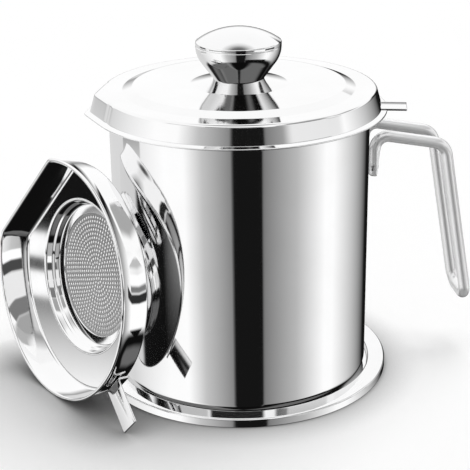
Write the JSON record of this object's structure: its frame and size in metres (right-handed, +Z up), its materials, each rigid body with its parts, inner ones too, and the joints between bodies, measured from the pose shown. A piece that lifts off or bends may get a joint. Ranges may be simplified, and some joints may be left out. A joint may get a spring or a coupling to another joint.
{
  "type": "bacon grease container",
  "caption": "Polished steel grease pot on a coaster tray, with a wire loop handle, a pouring spout, a knobbed lid and lift-out strainers with flat sides.",
  "frame": {"origin": "middle of the tray underside, on the pot axis, at table level", "axes": "+Z up along the pot axis, +X towards the handle, -X towards the spout"},
  "size_m": [0.2277, 0.1416, 0.1654],
  "materials": {
    "handle_steel": "polished",
    "knob_cap_steel": "polished",
    "knob_steel": "polished",
    "lid_steel": "polished",
    "mesh_ring_steel": "satin",
    "mesh_steel": "satin",
    "pot_steel": "polished",
    "screw_steel": "satin",
    "seat_steel": "satin",
    "strainer_steel": "polished",
    "tab_steel": "polished",
    "tray_steel": "polished",
    "washer_steel": "satin",
    "weld_steel": "satin"
  },
  "bodies": {
    "tray": {"tray": "tray_steel"},
    "pot": {"pot_body": "pot_steel", "strainer_seat_ring": "seat_steel", "handle_rod": "handle_steel", "handle_welds": "weld_steel"},
    "fitted_strainer": {"fitted_strainer_bowl": "strainer_steel", "fitted_strainer_mesh": "mesh_steel", "fitted_strainer_mesh_ring": "mesh_ring_steel", "fitted_strainer_tab": "tab_steel", "fitted_strainer_tab_welds": "weld_steel"},
    "lid": {"lid_shell": "lid_steel", "knob_cone": "knob_steel", "knob_cap": "knob_cap_steel", "knob_screw": "screw_steel", "knob_washer": "washer_steel"},
    "standing_strainer": {"standing_strainer_bowl": "strainer_steel", "standing_strainer_mesh": "mesh_steel", "standing_strainer_mesh_ring": "mesh_ring_steel", "standing_strainer_tab": "tab_steel", "standing_strainer_tab_welds": "weld_steel"}
  },
  "joints": [
    {"name": "pot_lift", "type": "slide", "parent": "tray", "child": "pot", "axis": [0, 0, 1], "range_m": [0, 0.12]},
    {"name": "strainer_lift", "type": "slide", "parent": "pot", "child": "fitted_strainer", "axis": [0, 0, 1], "range_m": [0, 0.1]},
    {"name": "lid_lift", "type": "slide", "parent": "fitted_strainer", "child": "lid", "axis": [0, 0, 1], "range_m": [0, 0.1]},
    {"name": "standing_strainer_pick_up", "type": "slide", "parent": "tray", "child": "standing_strainer", "axis": [-0.6166, -0.346, 0.7071], "range_m": [0, 0.12]}
  ]
}
